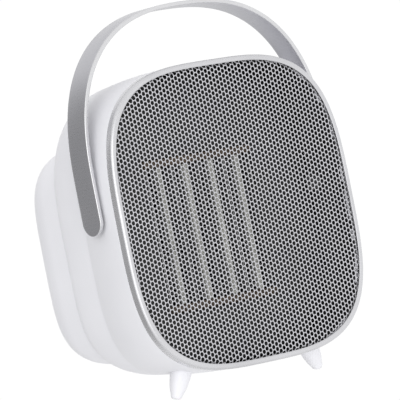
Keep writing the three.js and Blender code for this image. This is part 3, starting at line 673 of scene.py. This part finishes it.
def front_grille():
    """A sheet built from hexagonal cells, each with a punched hole; the outermost ones follow the rim."""
    angle = np.arange(HOLE_POINTS) / HOLE_POINTS * 2 * np.pi
    unit = np.stack([np.cos(angle), np.sin(angle)], axis=1)
    # Points on the edge of a cell are its six corners and the middles of its six sides.
    is_corner = np.arange(HOLE_POINTS) % 2 == 0
    cell = unit * np.where(is_corner, HOLE_PITCH / math.sqrt(3), HOLE_PITCH / 2)[:, None]
    top, bottom = GRILLE_TOP_Z, GRILLE_TOP_Z - GRILLE_THICKNESS
    loops = [(cell, top), (unit * (HOLE_R + HOLE_EDGE), top), (unit * HOLE_R, top - HOLE_EDGE),
             (unit * HOLE_R, bottom), (cell, bottom)]
    centres = hole_centres()
    levels = []
    for shape, z in loops:
        flat = clamp_to_outline(centres[:, None] + shape[None], GRILLE_HALF, FACE_POWER)
        levels.append(np.concatenate([flat, np.full(flat.shape[:2] + (1,), z)], axis=2))
    points = np.stack(levels, axis=1).reshape(-1, 3)
    _, first, index = np.unique(np.round(points, 2), axis=0, return_index=True, return_inverse=True)
    points, index = points[first], index.ravel()
    # The sheet's edge is set down a little under the rim's lip, which leaves a dark line round it.
    reach = (np.abs(points[:, :2] / (LIP_HALF - GRILLE_EDGE_INSET)) ** FACE_POWER).sum(axis=1)
    points[reach > 1, 2] -= GRILLE_EDGE_DROP
    here = np.arange(HOLE_POINTS)
    after = (here + 1) % HOLE_POINTS
    band = np.stack([here, after, HOLE_POINTS + after, HOLE_POINTS + here], axis=1)
    quads = np.concatenate([band + level * HOLE_POINTS for level in range(len(loops) - 1)])
    starts = np.arange(len(centres)) * len(loops) * HOLE_POINTS
    faces = index[(starts[:, None, None] + quads[None]).reshape(-1, 4)]
    corners = points[faces]
    area = np.linalg.norm(np.cross(corners[:, 2] - corners[:, 0], corners[:, 3] - corners[:, 1]), axis=1)
    faces = [list(dict.fromkeys(face)) for face in faces[area > 1e-3].tolist()]
    mesh = bpy.data.meshes.new("perforated_grille")
    mesh.from_pydata(points.tolist(), [], [face for face in faces if len(face) > 2])
    mesh.validate()
    mesh.transform(BODY)
    shade(mesh, 40)
    finish_piece(linked("perforated_grille", mesh), "grille_steel", nodes=["front_grille"])


# ------------------------------------------------------------------ handle
LEG_STEPS = 18
ARCH_STEPS = 160
ARCH_EASE = 0.35
BRUSH_UNIT = 100


def strap_point(angle, inset):
    half = STRAP_HALF_SPAN - inset
    rise = STRAP_TOP_Y - STRAP_ARCH_Y - inset
    c, s = math.cos(angle), math.sin(angle)
    x = half * math.copysign(abs(c) ** (2 / STRAP_POWER), c)
    return np.array([x, STRAP_ARCH_Y + rise * max(s, 0.0) ** (2 / STRAP_POWER)])


def strap_stations():
    """Outer point, inner point and half width, from the right leg's end over the arch to the left leg's."""
    radius = STRAP_WIDTH / 2
    legs = []
    for i in range(LEG_STEPS + 1):
        turn = math.pi / 2 * i / LEG_STEPS
        legs.append((PIVOT_Y - radius * math.cos(turn), max(radius * math.sin(turn), 0.05)))
    legs.append(((PIVOT_Y + STRAP_ARCH_Y) / 2, radius))
    outer, inner = STRAP_HALF_SPAN, STRAP_HALF_SPAN - STRAP_THICKNESS
    right = [(np.array([outer, y]), np.array([inner, y]), width) for y, width in legs]
    left = [(np.array([-outer, y]), np.array([-inner, y]), width) for y, width in reversed(legs)]
    arch = []
    for i in range(ARCH_STEPS + 1):
        share = i / ARCH_STEPS
        # Even steps in angle leave long gaps by the legs, so the angle is eased there.
        angle = math.pi * share - ARCH_EASE * math.sin(2 * math.pi * share)
        arch.append((strap_point(angle, 0), strap_point(angle, STRAP_THICKNESS), radius))
    return right + arch + left


def handle():
    """The strap: broad brushed faces, and narrow edges with small rounded corners that carry a lighter,
    glossier copy of its metal as a painted highlight.
    """
    sections, lengths, length, before = [], [], 0.0, None
    for outer, inner, width in strap_stations():
        thick = np.linalg.norm(inner - outer)
        across = (inner - outer) / thick
        path = [(0.0, 0.0), (0.0, width), (thick, width), (thick, -width), (0.0, -width), (0.0, 0.0)]
        path = rounded(path, min(STRAP_EDGE, width * 0.45), 3)[:-1]
        sections.append([(*(outer + across * depth), PIVOT_Z + rise) for depth, rise in path])
        length += 0.0 if before is None else float(np.linalg.norm(outer - before))
        before = outer
        lengths.append(length)
    vertices, faces = skin(sections, capped=True)
    piece = to_object("strap_handle", vertices, faces, BODY, smooth_angle=50)
    along = np.repeat(lengths, len(sections[0]))
    wide = np.tile([point[2] for point in sections[len(sections) // 2]], len(sections))
    uv = piece.data.uv_layers.new(name="brush")
    corner_vertex = np.zeros(len(piece.data.loops), int)
    piece.data.loops.foreach_get("vertex_index", corner_vertex)
    uv.data.foreach_set("uv", np.stack([along, wide], axis=1)[corner_vertex].ravel() / BRUSH_UNIT)
    finish_piece(piece, "strap_aluminium", "handle", ["handle"])
    # The narrow edges get the lighter copy of the strap's metal, a painted highlight.
    piece.data.materials.append(FINISHES["strap_painted_highlight"])
    around = len(sections[0])
    broad = (0, around // 2, around - 1)
    highlight_faces = [int(index % around not in broad) for index in range(len(piece.data.polygons))]
    piece.data.polygons.foreach_set("material_index", highlight_faces)


# ------------------------------------------------------------------ feet
FOOT_OVERLAP = 0.4
FOOT_STEPS = 12
FOOT_SWELL_POWER = 0.7


def shell_block(rows):
    """The outside of a shell as a solid, shrunk so that a foot cut with it reaches into the shell."""
    rings = [ring(z, width - FOOT_OVERLAP, height - FOOT_OVERLAP, power, y)
             for z, width, height, power, y in rows]
    return to_object("block", *skin(rings, capped=True), BODY)


def front_foot(side, word):
    lean_in = Vector((-side * FOOT_SPLAY, 1, FOOT_RAKE)).normalized()
    up = (BODY.to_3x3() @ lean_in).normalized()
    profile = [(0.0, FOOT_SINK), (math.sqrt(2 * FOOT_TIP_R * FOOT_SINK - FOOT_SINK ** 2), FOOT_SINK)]
    for i in range(4, FOOT_STEPS + 1):
        angle = math.radians(90 / FOOT_STEPS * i)
        profile.append((FOOT_TIP_R * math.sin(angle), FOOT_TIP_R * (1 - math.cos(angle))))
    profile = [p for p in profile if p[1] >= FOOT_SINK]
    radius, start = profile[-1]
    for i in range(1, FOOT_STEPS + 1):
        way = i / FOOT_STEPS
        swell = FOOT_SWELL * math.sin(math.pi * way ** FOOT_SWELL_POWER)
        profile.append((mix(radius, FOOT_TOP_R, way) + swell, mix(start, FOOT_LENGTH, way)))
    profile.append((0.0, FOOT_LENGTH))
    tip = BODY @ Vector((side * FOOT_X, FOOT_BODY_Y, FOOT_BODY_Z))
    turn = Vector((0, 0, 1)).rotation_difference(up).to_matrix().to_4x4()
    placement = Matrix.Translation((tip.x, tip.y, 0)) @ turn @ Matrix.Scale(MM, 4)
    vertices, faces = lathe([(r, z - FOOT_SINK) for r, z in profile], 64)
    piece = to_object(f"front_foot_{word}_cone", vertices, faces, placement, 50)
    ground = to_object("ground", *box_shape(400, 400, 40, z=-20), Matrix.Scale(MM, 4))
    carve(piece, [ground, shell_block(shell_rows(0))], 50)
    finish_piece(piece, "white_shell", nodes=[f"front_foot_{word}"])


def box_shape(width, depth, height, x=0.0, y=0.0, z=0.0):
    corners = [(x + sx * width / 2, y + sy * depth / 2, z + sz * height / 2)
               for sz in (-1, 1) for sx, sy in ((-1, -1), (1, -1), (1, 1), (-1, 1))]
    faces = [(3, 2, 1, 0), (4, 5, 6, 7), (0, 1, 5, 4), (1, 2, 6, 5), (2, 3, 7, 6), (3, 0, 4, 7)]
    return corners, faces


def rear_foot():
    low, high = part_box("rear_foot")
    middle = (low + high) / 2 / MM
    placement = Matrix.Scale(MM, 4)
    base = low.z / MM
    footprint = rounded_rect(REAR_FOOT_WIDTH, REAR_FOOT_DEPTH, 8, 0, middle.y)
    piece = plate("rear_foot_block", [footprint], base, base + 24, 1.2, placement)
    carve(piece, [shell_block(start_rows(0) + bend_rows(0, 20))], 50)
    finish_piece(piece, "white_shell", nodes=["rear_foot"])
    for side, word in SIDES:
        pad = f"rear_pad_{word}"
        low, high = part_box(pad)
        middle = (low + high) / 2 / MM
        radius = (high.x - low.x) / 2 / MM
        height = (high.z - low.z) / MM
        profile = rounded([(0, 0), (radius, 0), (radius, height), (0, height)], 0.7)
        ribs = [(radius * 0.55, 0.0), (radius * 0.6, 0.35), (radius * 0.66, 0.35), (radius * 0.7, 0.0)]
        profile = [profile[0], *ribs, *profile[1:]]
        centre = placement @ Matrix.Translation((middle.x, middle.y, 0))
        piece = to_object(f"{pad}_disc", *lathe(profile, 56), centre)
        finish_piece(piece, "pad_rubber", nodes=[pad])


# ------------------------------------------------------------------ back of the heater
INTAKE_BACK_Z = -149
INTAKE_FRONT_Z = -146.5
SLOT_ROWS = 5
SLOT_PITCH = 8.8
SLOT_HEIGHT = 4.4
SLOT_CORNER_R = 2.19
SLOT_START = 4
SLOT_END = 56
SLOT_END_SHORT = 44


def rear_grille():
    inset = INTAKE_INSET + 0.5
    outer = outline(HOUSING_HALF_WIDTH - inset, HOUSING_HALF_HEIGHT - inset, HOUSING_POWER,
                    HOUSING_CENTRE_Y, 160)
    loops = [[tuple(point) for point in outer]]
    for row in range(-SLOT_ROWS, SLOT_ROWS + 1):
        reach = SLOT_END_SHORT if abs(row) == SLOT_ROWS else SLOT_END
        for side in (-1, 1):
            x, y = side * (SLOT_START + reach) / 2, HOUSING_CENTRE_Y + row * SLOT_PITCH
            loops.append(rounded_rect(reach - SLOT_START, SLOT_HEIGHT, SLOT_CORNER_R, x, y, 6))
    piece = plate("intake_grille", loops, INTAKE_BACK_Z, INTAKE_FRONT_Z, 0.5, BODY)
    finish_piece(piece, "white_shell", nodes=["rear_grille"])


def cord_gland():
    r = GLAND_R
    ribs = []
    for i in range(4):
        z = 2.6 + 0.95 * i
        ribs += [(r + 1.3 - 0.25 * i, z), (r + 0.5 - 0.25 * i, z + 0.4)]
    profile = [(GLAND_BORE_R, -12), (r, -12), (r, 0.8), (r + 1.6, 0.9), (r + 1.6, 2.0), *ribs, (r + 0.1, 6.5),
               (GLAND_BORE_R, 6.5)]
    piece = to_object("gland_sleeve", *lathe(profile, 56), LOWER_BEND)
    finish_piece(piece, "pad_rubber", nodes=["cord_gland"])


def rear_screws():
    """Domed heads with a cross, each turned to its own angle."""
    seat = SCREW_SEAT_Z - 0.3
    profile = [(0, seat - 3.0), (1.6, seat - 2.95), (2.8, seat - 2.7), (3.6, seat - 2.0), (4.0, seat - 1.2),
               (4.0, seat), (1.8, seat), (1.8, seat + 22), (0.6, seat + 24), (0, seat + 24)]
    for number, (x, y) in enumerate(SCREWS, 1):
        turn = math.radians(20 + 50 * number)
        placement = BODY @ Matrix.Translation((x, y, 0)) @ Matrix.Rotation(turn, 4, "Z")
        piece = to_object(f"rear_screw_{number}_cross", *lathe(profile, 40), placement)
        slots = [to_object("slot", *box_shape(width, height, 3, z=seat - 3.0), placement)
                 for width, height in ((4.4, 0.9), (0.9, 4.4))]
        carve(piece, slots)
        finish_piece(piece, "zinc_steel", nodes=[f"rear_screw_{number}"])


# ------------------------------------------------------------------ controls, in the panel's frame
SCALE_STEPS = 13
FLUTES = 30
FLUTE_DEPTH = 0.42


def control_panel():
    loops = [rounded_rect(PANEL_WIDTH, PANEL_HEIGHT, PANEL_CORNER_R)]
    loops += [circle(KNOB_SHAFT_R + 0.6, side * KNOB_X) for side in (-1, 1)]
    loops.append(circle(LAMP_HOLE_R, 0, LAMP_Y, 32))
    piece = plate("control_fascia", loops, PANEL_PROUD - PANEL_THICKNESS, PANEL_PROUD, 0.7, PANEL)
    finish_piece(piece, "panel_grey", nodes=["control_panel"])


def mark(loop):
    return plate("mark", [loop], PANEL_PROUD - 0.1, PANEL_PROUD + 0.12, 0.01, PANEL, steps=0)


def panel_marks():
    """Printed marks: dots for the mode knob's four places, and a scale that grows for the thermostat."""
    marks = []
    ring_r = KNOB_R + 2.1
    for place in range(4):
        angle = math.pi / 2 - place * math.pi / 2
        dots = max(place, 1)
        radius = ring_r - (0.6 if place == 0 else 0)
        for dot in range(dots):
            spread = angle + (dot - (dots - 1) / 2) * 0.13
            x, y = -KNOB_X + radius * math.cos(spread), radius * math.sin(spread)
            marks.append(mark(circle(0.75, x, y, 20)))
    inner, half = ring_r - 1.0, 0.32
    for i in range(SCALE_STEPS):
        angle = math.radians(225 - 270 * i / (SCALE_STEPS - 1))
        outer = inner + (0.8 + 1.5 * i / (SCALE_STEPS - 1))
        c, s = math.cos(angle), math.sin(angle)
        corners = [(inner, -half), (outer, -half), (outer, half), (inner, half)]
        marks.append(mark([(KNOB_X + u * c - v * s, u * s + v * c) for u, v in corners]))
    finish_piece(joined("panel_print", marks), "marking_white")


def knob(node, x, turn):
    """A knob with a fluted grip, a slightly dished top and a raised pointer."""
    base = PANEL_PROUD + 0.6
    top = base + KNOB_HEIGHT
    placement = PANEL @ Matrix.Translation((x, 0, 0)) @ Matrix.Rotation(turn, 4, "Z")
    wall = rounded([(KNOB_SHAFT_R, base), (KNOB_R, base), (KNOB_R, base + 3), (KNOB_R - 2, base + 4.5),
                    (KNOB_R - 3, top - 1.5), (KNOB_R - 4.6, top), (0.3, top - 0.5)], 1.0)
    wall = [(KNOB_SHAFT_R, PANEL_PROUD - PANEL_THICKNESS - 7), *wall]
    count = 240
    angle = np.arange(count) / count * 2 * np.pi
    rings = []
    for r, z in wall:
        grip = 1.0 if base + 4.4 < z < top - 1.4 else 0.0
        radius = r - FLUTE_DEPTH * grip * np.maximum(0, np.cos(FLUTES * angle)) ** 2
        rings.append(np.column_stack([radius * np.cos(angle), radius * np.sin(angle), np.full(count, z)]))
    vertices, faces = skin(rings, capped=True)
    piece = to_object(f"{node}_grip", vertices, faces, placement)
    finish_piece(piece, "knob_silver", node, [node])
    bar = rounded_rect(1.7, 7, 0.8, 0, KNOB_R - 8.5)
    pointer = plate(f"{node}_pointer", [bar], top - 0.8, top + 0.75, 0.25, placement)
    finish_piece(pointer, "marking_white", node)


def pilot_lamp():
    top = PANEL_PROUD + 1
    profile = [(0, PANEL_PROUD - 5), (2.3, PANEL_PROUD - 5), (2.3, PANEL_PROUD + 0.2), (2.1, top - 0.45),
               (1.6, top - 0.15), (0.9, top - 0.03), (0, top)]
    placement = PANEL @ Matrix.Translation((0, LAMP_Y, 0))
    piece = to_object("pilot_lamp_lens", *lathe(profile, 40), placement, 60)
    finish_piece(piece, "lamp_amber", nodes=["pilot_lamp"])


# ------------------------------------------------------------------ heating element and fan
ELEMENT_MID_Z = ELEMENT_FRONT_Z - ELEMENT_DEPTH / 2
FOLDS = 44
FIN_HALF_DEPTH = 6.4
FIN_HALF_THICKNESS = 0.11
TILES = 5


def fin_packs():
    """Each pack is one sheet folded to and fro up the height of the element."""
    cell = (BAR_PITCH - BAR_THICKNESS - PLATE_THICKNESS) / 2 - 0.2
    length = 2 * (ELEMENT_HALF_HEIGHT - RAIL_HEIGHT) - 1.6
    front, back = ELEMENT_MID_Z + FIN_HALF_DEPTH, ELEMENT_MID_Z - FIN_HALF_DEPTH
    push = FIN_HALF_THICKNESS
    steps = FOLDS * 8
    t = np.arange(steps + 1) / steps
    wave = np.clip(1.35 * np.sin(np.pi * FOLDS * t), -1, 1)
    y = AIR_Y + (t - 0.5) * length
    number = 0
    for bar in range(BAR_COUNT):
        for side in (-1, 1):
            number += 1
            centre = (bar - (BAR_COUNT - 1) / 2) * BAR_PITCH + side * (BAR_THICKNESS / 2 + 0.1 + cell / 2)
            x = centre + wave * (cell / 2 - 0.35)
            rows = [np.column_stack([x, y + shift, np.full(len(x), z)])
                    for z, shift in ((front, push), (back, push), (back, -push), (front, -push))]
            sections = np.stack(rows, axis=1)
            vertices, faces = skin(sections, capped=True)
            piece = to_object(f"fin_pack_{number}_folds", vertices, faces, BODY, 50)
            finish_piece(piece, "fin_aluminium", nodes=[f"fin_pack_{number}"])


def element_bars():
    """Each bar is a row of ceramic tiles with a fine joint between them."""
    length = 2 * (ELEMENT_HALF_HEIGHT - RAIL_HEIGHT) - 0.6
    low, high = ELEMENT_MID_Z - ELEMENT_DEPTH / 2, ELEMENT_MID_Z + ELEMENT_DEPTH / 2
    for number in range(BAR_COUNT):
        x = (number - (BAR_COUNT - 1) / 2) * BAR_PITCH
        pieces = []
        for i in range(TILES):
            y = AIR_Y + ((i + 0.5) / TILES - 0.5) * length
            tile = rounded_rect(BAR_THICKNESS, length / TILES - 0.25, 0.5, x, y, 3)
            pieces.append(plate("tile", [tile], low, high, 0.4, BODY))
        piece = joined(f"ceramic_bar_{number + 1}_tiles", pieces)
        finish_piece(piece, "ptc_ceramic", nodes=[f"ceramic_bar_{number + 1}"])


def impeller():
    low, high = FAN_Z - HUB_DEPTH / 2, FAN_Z + HUB_DEPTH / 2
    cup = rounded([(0, high - 0.3), (HUB_R - 3, high), (HUB_R, high - 3), (HUB_R, low), (HUB_R - 2, low),
                   (HUB_R - 2, high - 4), (0, high - 4)], 0.8)
    placement = BODY @ Matrix.Translation((0, AIR_Y, 0))
    pieces = [to_object("hub", *lathe(cup, 64), placement)]
    for number in range(FAN_BLADES):
        rings = []
        for step in range(15):
            t = step / 14
            radius = HUB_R - 1 + t * (FAN_R - HUB_R + 1)
            tilt = math.radians(42 - 16 * t)
            chord = 20 + 4 * math.sin(math.pi * min(1, t * 1.1)) - 10 * max(0, t - 0.85)
            section = []
            for u, v in blade_section(chord, 1.5):
                sweep = (u * math.cos(tilt) - v * math.sin(tilt)) / radius + 0.12 * t
                z = FAN_Z + u * math.sin(tilt) + v * math.cos(tilt)
                section.append((radius * math.cos(sweep), radius * math.sin(sweep), z))
            rings.append(section)
        vertices, faces = skin(rings, capped=True)
        turn = Matrix.Rotation(2 * math.pi * number / FAN_BLADES, 4, "Z")
        pieces.append(to_object("blade", vertices, faces, placement @ turn, 50))
    piece = joined("impeller_blades", pieces)
    finish_piece(piece, "black_plastic", "fan_rotor", ["fan_impeller"])


def blade_section(chord, thickness):
    """A thin cambered blade's outline."""
    upper, lower = [], []
    for i in range(13):
        t = i / 12
        u = (t - 0.5) * chord
        camber = 0.06 * chord * math.sin(math.pi * t)
        half = thickness / 2 * math.sqrt(max(0.08, math.sin(math.pi * t)))
        upper.append((u, camber + half))
        lower.append((u, camber - half))
    return upper + lower[::-1]


# Pieces that are the CAD's own shapes with softer edges, and the width of the bevel in mm.
SOFTENED = {"duct_baffle": 0.6, "fan_shroud": 0.5, "element_rail_top": 0.5, "element_rail_bottom": 0.5,
            "tip_switch": 0.6, "mode_switch": 0.6, "thermostat": 0.6,
            **{f"element_plate_{number}": 0.2 for number in range(1, 6)}}


def softened(node, width):
    """A CAD piece with its edges rounded by a small bevel."""
    mesh = frame["nodes"][node].data.copy()
    solid = bmesh.new()
    solid.from_mesh(mesh)
    bmesh.ops.remove_doubles(solid, verts=solid.verts, dist=1e-6)
    bmesh.ops.dissolve_limit(solid, angle_limit=math.radians(0.5), verts=solid.verts, edges=solid.edges)
    sharp = [edge for edge in solid.edges
             if len(edge.link_faces) == 2 and edge.calc_face_angle() > math.radians(28)]
    bmesh.ops.bevel(solid, geom=sharp, offset=width * MM, offset_type="OFFSET", segments=2, profile=0.5,
                    affect="EDGES", clamp_overlap=True)
    solid.to_mesh(mesh)
    solid.free()
    shade(mesh, 35)
    finish_piece(linked(f"{node}_soft", mesh), SLOT_OF[node], nodes=[node])


FINISHES = make_finishes()
SLOT_OF = {row["node"]: row["material_slot"] for row in frame["record"]["subparts"]}

add_camera()
add_studio()
front_shell()
rear_housing()
front_frame()
front_grille()
handle()
for side, word in SIDES:
    front_foot(side, word)
rear_foot()
rear_grille()
cord_gland()
rear_screws()
control_panel()
panel_marks()
knob("mode_knob", -KNOB_X, 0.0)
knob("thermostat_knob", KNOB_X, math.radians(135))
pilot_lamp()
fin_packs()
element_bars()
impeller()
for node, width in SOFTENED.items():
    softened(node, width)

for node, cad in frame["nodes"].items():
    cad.data.materials.clear()
    cad.data.materials.append(FINISHES[SLOT_OF[node]])
